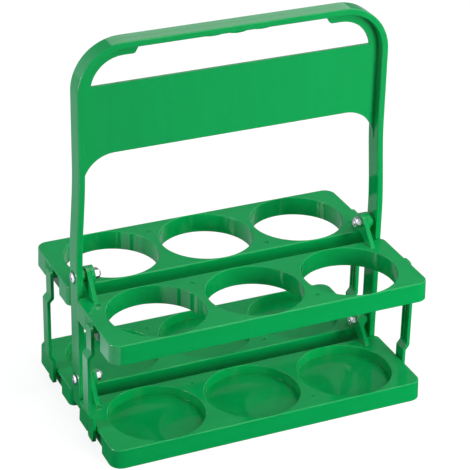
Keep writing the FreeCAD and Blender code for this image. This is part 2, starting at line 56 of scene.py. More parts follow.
class MathStep(Enum):
    """Operations of the Math node that the materials use."""

    ADD = "ADD"
    SUBTRACT = "SUBTRACT"
    MULTIPLY = "MULTIPLY"
    MAXIMUM = "MAXIMUM"
    ABSOLUTE = "ABSOLUTE"
    SINE = "SINE"
    ARCTAN2 = "ARCTAN2"


class MouldGrain(Enum):
    """Which way the melt ran in a moulding, as stretch of the flow pattern."""

    ALONG_PLATE = (0.35, 1.0, 1.0)
    UP_THE_LEGS = (1.0, 1.0, 0.25)
    EVEN = (1.0, 1.0, 1.0)


class NodeSheet:
    """Lays out the nodes of one shader node tree."""

    def __init__(self, tree: bpy.types.NodeTree) -> None:
        """Keep the tree that the nodes go into."""
        self.tree = tree

    @classmethod
    def blank(cls, owner: bpy.types.Material | bpy.types.World) -> "NodeSheet":
        """Clear the nodes of a material or a world and lay out new ones."""
        owner.use_nodes = True
        owner.node_tree.nodes.clear()
        return cls(owner.node_tree)

    def add(self, kind: str, settings: dict[str, object] | None = None,
            values: dict[str, object] | None = None) -> bpy.types.Node:
        """Add one node.

        Args:
            kind: Blender's identifier of the node type.
            settings: properties of the node, by name.
            values: plain values or output sockets for its inputs, by name.

        Returns:
            The new node.
        """
        node = self.tree.nodes.new(kind)
        for name, value in (settings or {}).items():
            setattr(node, name, value)
        for name, value in (values or {}).items():
            self.feed(node.inputs[name], value)
        return node

    def feed(self, socket: bpy.types.NodeSocket, value: object) -> None:
        """Give a socket a plain value, or link it where the value is a socket."""
        if isinstance(value, bpy.types.NodeSocket):
            self.tree.links.new(value, socket)
        else:
            socket.default_value = value

    def maths(self, step: MathStep, first: object, second: object = 0.0,
              clamp: bool = False) -> bpy.types.NodeSocket:
        """Work out one sum.

        Args:
            step: the operation.
            first: a number or an output socket.
            second: a number or an output socket.
            clamp: whether the result is kept from 0 to 1.

        Returns:
            The socket with the result.
        """
        node = self.tree.nodes.new("ShaderNodeMath")
        node.operation = step.value
        node.use_clamp = clamp
        self.feed(node.inputs[0], first)
        self.feed(node.inputs[1], second)
        return node.outputs[0]

    def ramp(self, value: object, low: float, high: object,
             to_low: float = 0.0, to_high: float = 1.0) -> bpy.types.NodeSocket:
        """Turn a range of values smoothly into another.

        Args:
            value: the value or socket to read.
            low: where the range begins.
            high: where the range ends, a number or a socket.
            to_low: result at its beginning.
            to_high: result at its end.

        Returns:
            The socket with the result.
        """
        node = self.add("ShaderNodeMapRange", {"interpolation_type": "SMOOTHSTEP"}, {
            "Value": value, "From Min": low, "From Max": high,
            "To Min": to_low, "To Max": to_high,
        })
        return node.outputs["Result"]

    def blend(self, amount: object, first: object, second: object) -> bpy.types.NodeSocket:
        """Mix two colours.

        Args:
            amount: share of the second colour, a number or a socket.
            first: a colour with alpha, or a socket.
            second: a colour with alpha, or a socket.

        Returns:
            The socket with the mixed colour.
        """
        node = self.tree.nodes.new("ShaderNodeMix")
        node.data_type = "RGBA"
        self.feed(node.inputs[0], amount)
        self.feed(node.inputs[6], first)
        self.feed(node.inputs[7], second)
        return node.outputs[2]

    def group(self, tree: bpy.types.NodeTree, values: dict[str, object]) -> bpy.types.Node:
        """Place a shared effect with one finish's own values."""
        return self.add("ShaderNodeGroup", {"node_tree": tree}, values)

    def bump(self, height: object, normal: bpy.types.NodeSocket) -> bpy.types.NodeSocket:
        """Turn a height in metres into a normal.

        Args:
            height: the height, a number or a socket.
            normal: the normal that the bumps stand on.

        Returns:
            The socket with the new normal.
        """
        node = self.add("ShaderNodeBump", None, {
            "Strength": 1.0, "Distance": 1.0, "Height": height, "Normal": normal,
        })
        return node.outputs["Normal"]

    def mix_shaders(self, amount: bpy.types.NodeSocket, first: bpy.types.Node,
                    second: bpy.types.Node) -> bpy.types.Node:
        """Mix the results of two shader nodes.

        Args:
            amount: share of the second one.
            first: a shader node.
            second: a shader node.

        Returns:
            The node that mixes them.
        """
        node = self.add("ShaderNodeMixShader", None, {"Fac": amount})
        self.feed(node.inputs[1], first.outputs[0])
        self.feed(node.inputs[2], second.outputs[0])
        return node

    def by_ray(self, lit: bpy.types.Node, mirrored: bpy.types.Node,
               seen: bpy.types.Node) -> bpy.types.Node:
        """Choose between three shader nodes by the kind of ray.

        Args:
            lit: what lights the carrier.
            mirrored: what gloss shows.
            seen: what the camera sees.

        Returns:
            The node that chooses.
        """
        path = self.add("ShaderNodeLightPath")
        hidden = self.mix_shaders(path.outputs["Is Glossy Ray"], lit, mirrored)
        return self.mix_shaders(path.outputs["Is Camera Ray"], hidden, seen)


def opaque(colour: Colour) -> tuple[float, float, float, float]:
    """Return a colour with full alpha."""
    return (*colour, 1.0)


class EffectShelf:
    """Shared surface effects, each a node group that is built once."""

    # How far the rounded normal turns from the face where the lighter edge begins, which is partly
    # wear and partly a painted highlight.
    WEAR_AND_HIGHLIGHT_START: float = 0.01
    # How much finer the streaks of a moulding are than its waves.
    STREAK_FINENESS: float = 2.6
    # Each set of scratches: how far it is turned, and its stretch along X, Y and Z.
    SCRATCH_SETS: tuple[tuple[float, Point], ...] = (
        (0.5, (1400.0, 16.0, 60.0)), (-0.7, (1100.0, 60.0, 14.0)), (1.9, (60.0, 1300.0, 16.0)))
    # Noise levels from which scratches show, and from which a patch has them.
    SCRATCH_LEVELS: Span = (0.77, 0.84)
    PATCH_LEVELS: Span = (0.42, 0.66)
    # How far a face has to look up for dust to lie on it.
    UPWARD_LEVELS: Span = (0.55, 0.95)
    # Noise levels from which dust lies as a haze and as specks, and the haze's share.
    HAZE_LEVELS: Span = (0.4, 0.75)
    SPECK_LEVELS: Span = (0.69, 0.74)
    HAZE_SHARE: float = 0.35

    def __init__(self) -> None:
        """Build every group."""
        self.edge_wear_and_highlight = self._build_edge_wear_and_highlight()
        self.mould_flow = self._mould_flow()
        self.hairlines = self._hairlines()
        self.dust = self._dust()

    def _group(self, name: str, inputs: dict[str, float | None],
               outputs: dict[str, str]) -> tuple[NodeSheet, bpy.types.Node, bpy.types.Node]:
        """Make an empty group with named sockets.

        Args:
            name: name of the group.
            inputs: default of each input, or None for a vector input.
            outputs: socket type of each output.

        Returns:
            The sheet of the group, its input node and its output node.
        """
        tree = bpy.data.node_groups.new(name, "ShaderNodeTree")
        for label, default in inputs.items():
            kind = "NodeSocketVector" if default is None else "NodeSocketFloat"
            socket = tree.interface.new_socket(name=label, in_out="INPUT", socket_type=kind)
            if default is not None:
                socket.default_value = default
        for label, kind in outputs.items():
            tree.interface.new_socket(name=label, in_out="OUTPUT", socket_type=kind)
        sheet = NodeSheet(tree)
        return sheet, sheet.add("NodeGroupInput"), sheet.add("NodeGroupOutput")

    def _build_edge_wear_and_highlight(self) -> bpy.types.NodeTree:
        """Rounded edge normals, and a mask of the edges themselves, which the plastic lightens as
        wear and as a painted highlight.
        """
        sheet, given, result = self._group(
            "edge wear and painted highlight", {"Radius": 0.0006, "Softness": 0.3},
            {"Mask": "NodeSocketFloat", "Normal": "NodeSocketVector"})
        bevel = sheet.add("ShaderNodeBevel", {"samples": 6}, {"Radius": given.outputs["Radius"]})
        shape = sheet.add("ShaderNodeNewGeometry")
        turn = sheet.add("ShaderNodeVectorMath", {"operation": "DOT_PRODUCT"})
        sheet.feed(turn.inputs[0], bevel.outputs["Normal"])
        sheet.feed(turn.inputs[1], shape.outputs["Normal"])
        away = sheet.maths(MathStep.SUBTRACT, 1.0, turn.outputs["Value"], clamp=True)
        sheet.feed(result.inputs["Mask"],
                   sheet.ramp(away, self.WEAR_AND_HIGHLIGHT_START, given.outputs["Softness"]))
        sheet.feed(result.inputs["Normal"], bevel.outputs["Normal"])
        return sheet.tree

    def _mould_flow(self) -> bpy.types.NodeTree:
        """Slow waves, faint streaks and fine ripple of a moulded skin."""
        sheet, given, result = self._group(
            "mould flow", {"Place": None, "Wave Scale": 22.0, "Ripple Scale": 900.0},
            {"Wave": "NodeSocketFloat", "Streak": "NodeSocketFloat", "Ripple": "NodeSocketFloat"})
        wave = sheet.add("ShaderNodeTexNoise", None, {
            "Vector": given.outputs["Place"], "Scale": given.outputs["Wave Scale"],
            "Detail": 1.5, "Roughness": 0.4,
        })
        streak = sheet.add("ShaderNodeTexNoise", None, {
            "Vector": given.outputs["Place"],
            "Scale": sheet.maths(MathStep.MULTIPLY, given.outputs["Wave Scale"],
                                 self.STREAK_FINENESS),
            "Detail": 5.0, "Roughness": 0.62, "Distortion": 0.7,
        })
        ripple = sheet.add("ShaderNodeTexNoise", None, {
            "Vector": given.outputs["Place"], "Scale": given.outputs["Ripple Scale"],
            "Detail": 2.0, "Roughness": 0.5,
        })
        sheet.feed(result.inputs["Wave"], wave.outputs[0])
        sheet.feed(result.inputs["Streak"], streak.outputs[0])
        sheet.feed(result.inputs["Ripple"], ripple.outputs[0])
        return sheet.tree

    def _hairlines(self) -> bpy.types.NodeTree:
        """Sparse hairline scratches in three directions."""
        sheet, given, result = self._group(
            "hairlines", {"Place": None, "Scale": 1.0, "Amount": 0.5},
            {"Mask": "NodeSocketFloat"})
        patches = sheet.add("ShaderNodeTexNoise", None, {
            "Vector": given.outputs["Place"], "Scale": 26.0, "Detail": 1.0,
        })
        lines: bpy.types.NodeSocket | None = None
        for turn, stretch in self.SCRATCH_SETS:
            place = sheet.add("ShaderNodeMapping", {"vector_type": "POINT"}, {
                "Vector": given.outputs["Place"], "Rotation": (0.3 * turn, turn, 0.8 * turn),
                "Scale": stretch,
            })
            noise = sheet.add("ShaderNodeTexNoise", None, {
                "Vector": place.outputs["Vector"], "Scale": given.outputs["Scale"], "Detail": 0.0,
            })
            line = sheet.ramp(noise.outputs[0], *self.SCRATCH_LEVELS)
            lines = line if lines is None else sheet.maths(MathStep.MAXIMUM, lines, line)
        spread = sheet.ramp(patches.outputs[0], *self.PATCH_LEVELS)
        mask = sheet.maths(MathStep.MULTIPLY, lines, spread)
        sheet.feed(result.inputs["Mask"],
                   sheet.maths(MathStep.MULTIPLY, mask, given.outputs["Amount"]))
        return sheet.tree

    def _dust(self) -> bpy.types.NodeTree:
        """Fine dust that settles on faces that look up."""
        sheet, given, result = self._group(
            "settled dust", {"Place": None, "Amount": 0.1}, {"Mask": "NodeSocketFloat"})
        shape = sheet.add("ShaderNodeNewGeometry")
        split = sheet.add("ShaderNodeSeparateXYZ", None, {"Vector": shape.outputs["Normal"]})
        upward = sheet.ramp(split.outputs["Z"], *self.UPWARD_LEVELS)
        cloud = sheet.add("ShaderNodeTexNoise", None, {
            "Vector": given.outputs["Place"], "Scale": 14.0, "Detail": 6.0, "Roughness": 0.7,
        })
        specks = sheet.add("ShaderNodeTexNoise", None, {
            "Vector": given.outputs["Place"], "Scale": 950.0, "Detail": 1.0,
        })
        haze = sheet.maths(MathStep.MULTIPLY, sheet.ramp(cloud.outputs[0], *self.HAZE_LEVELS),
                           self.HAZE_SHARE)
        dots = sheet.ramp(specks.outputs[0], *self.SPECK_LEVELS)
        both = sheet.maths(MathStep.ADD, haze, dots, clamp=True)
        seen = sheet.maths(MathStep.MULTIPLY, both, upward)
        sheet.feed(result.inputs["Mask"],
                   sheet.maths(MathStep.MULTIPLY, seen, given.outputs["Amount"]))
        return sheet.tree


def new_material(name: str) -> tuple[bpy.types.Material, NodeSheet, bpy.types.Node]:
    """Make a material with one Principled shader.

    Args:
        name: name of the material.

    Returns:
        The material, the sheet of its nodes and its Principled shader.
    """
    material = bpy.data.materials.new(name)
    sheet = NodeSheet.blank(material)
    shader = sheet.add("ShaderNodeBsdfPrincipled")
    sheet.add("ShaderNodeOutputMaterial", None, {"Surface": shader.outputs["BSDF"]})
    return material, sheet, shader


@dataclass(frozen=True)
class MouldedPlastic:
    """Glossy green plastic as it leaves a polished mould."""

    name: str
    grain: MouldGrain
    parting_line: bool = False
    colour: Colour = (0.0016, 0.402, 0.094)
    deep_colour: Colour = (0.0012, 0.384, 0.087)
    # Lighter green of scratches and worn edges; on the edges it is also a painted highlight.
    wear_and_highlight_colour: Colour = (0.010, 0.450, 0.130)
    dust_colour: Colour = (0.30, 0.46, 0.36)
    roughness: float = 0.06
    ior: float = 1.5
    edge_radius: float = 0.55 * MM
    wave_depth: float = 0.05 * MM
    ripple_depth: float = 0.0012 * MM
    scratch_depth: float = 0.006 * MM
    parting_height: float = 0.10 * MM
    parting_half_width: float = 0.22 * MM
    # What the streaks do to the colour and to the lighter edges, which are partly wear and partly
    # a painted highlight.
    streaks: Ramp = (0.35, 0.7, 0.0, 1.0)
    edge_rub_and_highlight: Ramp = (0.38, 0.62, 0.15, 0.75)
    # What the waves do to the roughness.
    dull_clouds: Ramp = (0.3, 0.7, -0.015, 0.025)
    scratch_amount: float = 0.45
    scratch_tint: float = 0.2
    scratch_dulling: float = 0.25
    dust_amount: float = 0.05
    dust_dulling: float = 0.5

    def make(self, shelf: EffectShelf) -> bpy.types.Material:
        """Build the material.

        Args:
            shelf: the shared effects.

        Returns:
            The material.
        """
        material, sheet, shader = new_material(self.name)
        places = sheet.add("ShaderNodeTexCoord").outputs["Object"]
        centred = sheet.add("ShaderNodeMapping", {"vector_type": "POINT"}, {
            "Vector": places, "Scale": self.grain.value,
        }).outputs["Vector"]
        flow = sheet.group(shelf.mould_flow, {"Place": centred})
        lines = sheet.group(shelf.hairlines, {"Place": places, "Amount": self.scratch_amount})
        edges = sheet.group(shelf.edge_wear_and_highlight, {"Radius": self.edge_radius})
        dust = sheet.group(shelf.dust, {"Place": places, "Amount": self.dust_amount})

        streaked = sheet.blend(sheet.ramp(flow.outputs["Streak"], *self.streaks),
                               opaque(self.deep_colour), opaque(self.colour))
        # Edges are lightened towards this colour: partly wear, partly a painted highlight.
        rubbed_and_highlit_edges = sheet.maths(MathStep.MULTIPLY, edges.outputs["Mask"],
                             sheet.ramp(flow.outputs["Streak"], *self.edge_rub_and_highlight))
        wear_and_highlight_mix = sheet.blend(rubbed_and_highlit_edges, streaked, opaque(self.wear_and_highlight_colour))
        scratched = sheet.maths(MathStep.MULTIPLY, lines.outputs["Mask"], self.scratch_tint)
        marked = sheet.blend(scratched, wear_and_highlight_mix, opaque(self.wear_and_highlight_colour))
        dusted = sheet.blend(dust.outputs["Mask"], marked, opaque(self.dust_colour))
        sheet.feed(shader.inputs["Base Color"], dusted)

        dull = sheet.maths(MathStep.ADD, sheet.ramp(flow.outputs["Wave"], *self.dull_clouds),
                           self.roughness)
        dull = sheet.maths(MathStep.ADD, dull, sheet.maths(
            MathStep.MULTIPLY, lines.outputs["Mask"], self.scratch_dulling))
        dull = sheet.maths(MathStep.ADD, dull, sheet.maths(
            MathStep.MULTIPLY, dust.outputs["Mask"], self.dust_dulling), clamp=True)
        sheet.feed(shader.inputs["Roughness"], dull)

        height = sheet.maths(MathStep.MULTIPLY, flow.outputs["Wave"], self.wave_depth)
        height = sheet.maths(MathStep.ADD, height, sheet.maths(
            MathStep.MULTIPLY, flow.outputs["Ripple"], self.ripple_depth))
        height = sheet.maths(MathStep.SUBTRACT, height, sheet.maths(
            MathStep.MULTIPLY, lines.outputs["Mask"], self.scratch_depth))
        if self.parting_line:
            split = sheet.add("ShaderNodeSeparateXYZ", None, {"Vector": places})
            apart = sheet.maths(MathStep.ABSOLUTE, split.outputs["Y"])
            ridge = sheet.ramp(apart, 0.0, self.parting_half_width, self.parting_height, 0.0)
            height = sheet.maths(MathStep.ADD, height, ridge)
        sheet.feed(shader.inputs["Normal"], sheet.bump(height, edges.outputs["Normal"]))
        shader.inputs["IOR"].default_value = self.ior
        return material


@dataclass(frozen=True)
class PlatedSteel:
    """Bright plated steel of the screws and nuts, with turning marks."""

    name: str
    colour: Colour = (0.90, 0.90, 0.90)
    stain_colour: Colour = (0.60, 0.59, 0.57)
    roughness: float = 0.16
    smoother_by: float = 0.05
    duller_by: float = 0.12
    rings_per_metre: float = 3200.0
    ring_depth: float = 0.004 * MM
    edge_radius: float = 0.2 * MM
    shank_radius: float = 3.0 * MM
    thread_pitch: float = 1.0 * MM
    thread_depth: float = 0.32 * MM
    thread_end: float = 137.5 * MM
    thread_run_out: float = 0.1 * MM
    # How deep under the shank's surface the thread begins and is there in full.
    flank_begin: float = 0.6 * MM
    flank_end: float = 0.35 * MM
    grime_scale: float = 420.0
    # What the grime does to the roughness and to the colour.
    dull_levels: Span = (0.3, 0.7)
    stains: Ramp = (0.45, 0.75, 0.0, 0.45)

    def make(self, shelf: EffectShelf, axis_height: float) -> bpy.types.Material:
        """Build the material round the axis of one screw.

        Args:
            shelf: the shared effects.
            axis_height: height of the screw's axis.

        Returns:
            The material.
        """
        material, sheet, shader = new_material(self.name)
        places = sheet.add("ShaderNodeTexCoord").outputs["Object"]
        centred = sheet.add("ShaderNodeMapping", {"vector_type": "POINT"}, {
            "Vector": places, "Location": (0.0, 0.0, -axis_height),
        }).outputs["Vector"]
        split = sheet.add("ShaderNodeSeparateXYZ", None, {"Vector": centred})
        flat = sheet.add("ShaderNodeCombineXYZ", None, {
            "Y": split.outputs["Y"], "Z": split.outputs["Z"],
        })
        reach = sheet.add("ShaderNodeVectorMath", {"operation": "LENGTH"})
        sheet.feed(reach.inputs[0], flat.outputs["Vector"])
        waves = sheet.maths(MathStep.MULTIPLY, reach.outputs["Value"],
                            2.0 * math.pi * self.rings_per_metre)
        rings = sheet.maths(MathStep.SINE, waves)
        grime = sheet.add("ShaderNodeTexNoise", None, {
            "Vector": places, "Scale": self.grime_scale, "Detail": 4.0, "Roughness": 0.6,
        })
        edges = sheet.group(shelf.edge_wear_and_highlight, {"Radius": self.edge_radius})
        stains = sheet.ramp(grime.outputs[0], *self.stains)
        sheet.feed(shader.inputs["Base Color"],
                   sheet.blend(stains, opaque(self.colour), opaque(self.stain_colour)))
        sheet.feed(shader.inputs["Roughness"], sheet.ramp(
            grime.outputs[0], *self.dull_levels, self.roughness - self.smoother_by,
            self.roughness + self.duller_by))
        height = sheet.maths(MathStep.ADD,
                             sheet.maths(MathStep.MULTIPLY, rings, self.ring_depth),
                             self._thread(sheet, split, reach.outputs["Value"]))
        sheet.feed(shader.inputs["Normal"], sheet.bump(height, edges.outputs["Normal"]))
        shader.inputs["Metallic"].default_value = 1.0
        return material

    def _thread(self, sheet: NodeSheet, split: bpy.types.Node,
                reach: bpy.types.NodeSocket) -> bpy.types.NodeSocket:
        """Work out the height of the thread on the shank's bare end.

        Args:
            sheet: the material's nodes.
            split: the place seen from the axis, as X, Y and Z.
            reach: distance from the axis.

        Returns:
            The socket with the height, 0 away from the thread.
        """
        angle = sheet.maths(MathStep.ARCTAN2, split.outputs["Y"], split.outputs["Z"])
        along = sheet.maths(MathStep.MULTIPLY, split.outputs["X"],
                            2.0 * math.pi / self.thread_pitch)
        ridge = sheet.maths(MathStep.SINE, sheet.maths(MathStep.ADD, along, angle))
        bare = sheet.ramp(sheet.maths(MathStep.ABSOLUTE, split.outputs["X"]),
                          self.thread_end - self.thread_run_out, self.thread_end, 1.0, 0.0)
        shank = sheet.ramp(reach, self.shank_radius - self.flank_begin,
                           self.shank_radius - self.flank_end)
        where = sheet.maths(MathStep.MULTIPLY, bare, shank)
        return sheet.maths(MathStep.MULTIPLY, sheet.maths(MathStep.MULTIPLY, ridge, where),
                           0.5 * self.thread_depth)


@dataclass(frozen=True)
class NylonInsert:
    """Milky nylon of the ring in the end of a lock nut."""

    name: str
    colour: Colour = (0.62, 0.66, 0.62)
    shade_colour: Colour = (0.44, 0.50, 0.46)
    roughness: float = 0.38
    smoother_by: float = 0.06
    duller_by: float = 0.08
    wave_scale: float = 320.0
    ripple_scale: float = 2600.0
    ripple_depth: float = 0.01 * MM
    edge_radius: float = 0.1 * MM
    # What the streaks do to the colour and the waves to the roughness.
    streak_levels: Span = (0.35, 0.65)
    dull_levels: Span = (0.3, 0.7)

    def make(self, shelf: EffectShelf) -> bpy.types.Material:
        """Build the material.

        Args:
            shelf: the shared effects.

        Returns:
            The material.
        """
        material, sheet, shader = new_material(self.name)
        places = sheet.add("ShaderNodeTexCoord").outputs["Object"]
        flow = sheet.group(shelf.mould_flow, {
            "Place": places, "Wave Scale": self.wave_scale, "Ripple Scale": self.ripple_scale})
        edges = sheet.group(shelf.edge_wear_and_highlight, {"Radius": self.edge_radius})
        sheet.feed(shader.inputs["Base Color"], sheet.blend(
            sheet.ramp(flow.outputs["Streak"], *self.streak_levels),
            opaque(self.shade_colour), opaque(self.colour)))
        sheet.feed(shader.inputs["Roughness"], sheet.ramp(
            flow.outputs["Wave"], *self.dull_levels, self.roughness - self.smoother_by,
            self.roughness + self.duller_by))
        ripple = sheet.maths(MathStep.MULTIPLY, flow.outputs["Ripple"], self.ripple_depth)
        sheet.feed(shader.inputs["Normal"], sheet.bump(ripple, edges.outputs["Normal"]))
        return material


def dress(names: list[str], material: bpy.types.Material) -> None:
    """Give CAD nodes one finish.

    Args:
        names: names of the nodes.
        material: their material.
    """
    for name in names:
        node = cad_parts[name]
        if node.material_slots:
            for slot in node.material_slots:
                slot.material = material
        else:
            node.data.materials.append(material)
        log.info("dressed %s in %s", name, material.name)


def add_piece(name: str, shape: bmesh.types.BMesh, material: bpy.types.Material,
              body: str) -> None:
    """Make a finished piece from a bmesh and hang it on its body.

    Args:
        name: name of the piece.
        shape: its shape, in place in the carrier's frame; it is freed.
        material: its material.
        body: CAD body that it rides on.
    """
    bmesh.ops.remove_doubles(shape, verts=shape.verts, dist=MERGE_REACH)
    bmesh.ops.recalc_face_normals(shape, faces=shape.faces)
    mesh = bpy.data.meshes.new(name)
    shape.to_mesh(mesh)
    shape.free()
    mesh.shade_smooth()
    mesh.set_sharp_from_angle(angle=SHARP_ANGLE)
    mesh.materials.append(material)
    piece = bpy.data.objects.new(name, mesh)
    bpy.context.scene.collection.objects.link(piece)
    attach(piece, body)
    log.info("built %s with %d faces on %s", name, len(mesh.polygons), body)


@dataclass(frozen=True)
class HandleFrame:
    """The moulding with the grip, both legs and the panel."""

    finish: MouldedPlastic = MouldedPlastic("frame plastic", MouldGrain.UP_THE_LEGS,
                                            parting_line=True)
    web_half: float = 1.4 * MM
    pin_mark_sides: int = 28
    pin_mark_radius: float = 3.5 * MM
    pin_mark_taper: float = 0.94
    pin_mark_rise: float = 0.12 * MM
    pin_mark_x: tuple[float, ...] = (-112.0 * MM, -38.0 * MM, 38.0 * MM, 112.0 * MM)
    pin_mark_z: tuple[float, ...] = (290.0 * MM, 330.0 * MM)

    def build(self, shelf: EffectShelf) -> None:
        """Dress the moulding and add the marks at the back of its panel."""
        plastic = self.finish.make(shelf)
        dress(["handle_frame"], plastic)
        marks = bmesh.new()
        for x in self.pin_mark_x:
            for z in self.pin_mark_z:
                place = Matrix.Translation((x, self.web_half, z)) @ Matrix.Rotation(
                    math.radians(-90.0), 4, "X")
                bmesh.ops.create_cone(
                    marks, cap_ends=True, segments=self.pin_mark_sides,
                    radius1=self.pin_mark_radius,
                    radius2=self.pin_mark_radius * self.pin_mark_taper,
                    depth=2.0 * self.pin_mark_rise, matrix=place)
        add_piece("panel_pin_marks", marks, plastic, "frame")


@dataclass(frozen=True)
class BottlePlates:
    """The two racks and the two trays."""

    finish: MouldedPlastic = MouldedPlastic("plate plastic", MouldGrain.ALONG_PLATE)
    rack_top: float = 134.0 * MM
    tray_top: float = 20.0 * MM
    skin: float = 2.5 * MM
    gate_place: Point = (99.5 * MM, -108.93 * MM, 12.6 * MM)
    gate_sides: int = 24
    gate_radius: float = 1.3 * MM
    gate_taper: float = 0.7
    gate_rise: float = 0.3 * MM
    gate_rounding: float = 0.08 * MM
    pin_mark_sides: int = 24
    pin_mark_radius: float = 3.0 * MM
    pin_mark_taper: float = 0.94
    pin_mark_drop: float = 0.15 * MM
    pin_mark_places: tuple[tuple[float, float], ...] = (
        (50.75 * MM, 18.5 * MM), (-50.75 * MM, 18.5 * MM), (50.75 * MM, 101.0 * MM),
        (-50.75 * MM, 101.0 * MM), (152.0 * MM, 97.0 * MM), (-152.0 * MM, 97.0 * MM))

    def build(self, shelf: EffectShelf) -> None:
        """Dress the plates and add the marks that the mould leaves on them."""
        plastic = self.finish.make(shelf)
        dress(["front_upper_rack", "rear_upper_rack", "front_lower_tray", "rear_lower_tray"],
              plastic)
        for side, turn in (("front", 0.0), ("rear", math.pi)):
            half_turn = Matrix.Rotation(turn, 4, "Z")
            self._gate(side, half_turn, plastic)
            self._pin_marks(side + "_rack", self.rack_top - self.skin, half_turn, plastic)
            self._pin_marks(side + "_tray", self.tray_top - self.skin, half_turn, plastic)

    def _gate(self, side: str, half_turn: Matrix, plastic: bpy.types.Material) -> None:
        """Add the snapped gate on the skirt of one tray."""
        gate = bmesh.new()
        place = half_turn @ Matrix.Translation(self.gate_place) @ Matrix.Rotation(
            math.radians(90.0), 4, "X")
        bmesh.ops.create_cone(gate, cap_ends=True, segments=self.gate_sides,
                              radius1=self.gate_radius,
                              radius2=self.gate_radius * self.gate_taper,
                              depth=self.gate_rise, matrix=place)
        bmesh.ops.bevel(gate, geom=gate.edges[:], offset=self.gate_rounding, affect="EDGES",
                        segments=2, profile=0.5, material=-1)
        add_piece(side + "_tray_gate", gate, plastic, side + "_tray")

    def _pin_marks(self, body: str, underside: float, half_turn: Matrix,
                   plastic: bpy.types.Material) -> None:
        """Add the ejector pin marks under one plate.

        Args:
            body: CAD body of the plate.
            underside: height of the face that looks down.
            half_turn: turn of the rear plates.
            plastic: their material.
        """
        marks = bmesh.new()
        for x, y in self.pin_mark_places:
            place = half_turn @ Matrix.Translation((x, -y, underside))
            bmesh.ops.create_cone(marks, cap_ends=True, segments=self.pin_mark_sides,
                                  radius1=self.pin_mark_radius * self.pin_mark_taper,
                                  radius2=self.pin_mark_radius,
                                  depth=2.0 * self.pin_mark_drop, matrix=place)
        add_piece(body + "_pin_marks", marks, plastic, body)


@dataclass(frozen=True)
class FoldingLinks:
    """The four flat bars between racks and trays."""

    finish: MouldedPlastic = MouldedPlastic("link plastic", MouldGrain.EVEN)

    def build(self, shelf: EffectShelf) -> None:
        """Dress the four bars."""
        dress(["front_right_link", "front_left_link", "rear_right_link", "rear_left_link"],
              self.finish.make(shelf))


@dataclass(frozen=True)
class PivotHardware:
    """The screws and nuts that the plates turn on."""

    upper_axis: float = 151.0 * MM
    lower_axis: float = 37.0 * MM
    nut_end: float = 136.7 * MM
    insert_bore: float = 3.02 * MM
    insert_radius: float = 4.1 * MM
    insert_depth: float = 0.8 * MM
    insert_proud: float = 0.12 * MM
    insert_chamfer: float = 0.1 * MM
    insert_sides: int = 56
    insert_finish: NylonInsert = NylonInsert("nylon insert")

    def build(self, shelf: EffectShelf) -> None:
        """Dress the screws and nuts and add the nylon insert of each nut."""
        nylon = self.insert_finish.make(shelf)
        for level, height in (("upper", self.upper_axis), ("lower", self.lower_axis)):
            steel = PlatedSteel(level + " plated steel").make(shelf, height)
            dress([side + "_" + level + "_" + kind for side in ("right", "left")
                   for kind in ("screw", "nut")], steel)
            self._insert("right_" + level, 1.0, height, nylon)
            self._insert("left_" + level, -1.0, height, nylon)

    def _insert(self, name: str, side: float, height: float,
                nylon: bpy.types.Material) -> None:
        """Spin the nylon ring in the end of one nut.

        Args:
            name: side and level of the nut.
            side: 1 for the right side, -1 for the left.
            height: height of the axis.
            nylon: material of the ring.
        """
        ring = bmesh.new()
        outer = self.nut_end - self.insert_proud
        inner = self.nut_end + self.insert_depth
        chamfer = self.insert_chamfer
        section = (
            (inner, self.insert_bore), (outer + chamfer, self.insert_bore),
            (outer, self.insert_bore + chamfer), (outer, self.insert_radius - chamfer),
            (outer + chamfer, self.insert_radius), (inner, self.insert_radius))
        rows = []
        for step in range(self.insert_sides):
            turn = 2.0 * math.pi * step / self.insert_sides
            rows.append([
                ring.verts.new((side * x, reach * math.sin(turn), height + reach * math.cos(turn)))
                for x, reach in section])
        # Faces are made one by one, since a spin puts them in another order each run.
        for row, after in zip(rows, rows[1:] + rows[:1]):
            for i in range(len(section)):
                ring.faces.new((row[i - 1], row[i], after[i], after[i - 1]))
        add_piece(name + "_nut_insert", ring, nylon, "frame")


class LampRole(Enum):
    """What a lamp is there for, as whether it lights and whether gloss shows it."""

    LIGHT = (True, False)
    LIGHT_AND_GLOSS = (True, True)
    GLOSS = (False, True)


@dataclass(frozen=True)
class SoftLamp:
    """A rectangular soft lamp or card."""

    name: str
    place: Point
    size: tuple[float, float]
    power: float
    colour: Colour = (1.0, 1.0, 1.0)
    role: LampRole = LampRole.LIGHT
    aim: Point = (0.0, 0.0, 0.15)

    def hang(self) -> None:
        """Hang the lamp out of the camera's sight, looking at its aim."""
        light = bpy.data.lights.new(self.name, "AREA")
        light.shape = "RECTANGLE"
        light.size, light.size_y = self.size
        light.energy = self.power
        light.color = self.colour
        lamp = bpy.data.objects.new(self.name, light)
        lamp.visible_camera = False
        lamp.visible_diffuse, lamp.visible_glossy = self.role.value
        bpy.context.scene.collection.objects.link(lamp)
        look = Vector(self.aim) - Vector(self.place)
        turn = look.to_track_quat("-Z", "Y").to_matrix().to_4x4()
        lamp.matrix_world = Matrix.Translation(self.place) @ turn
        log.info("hung %s", self.name)


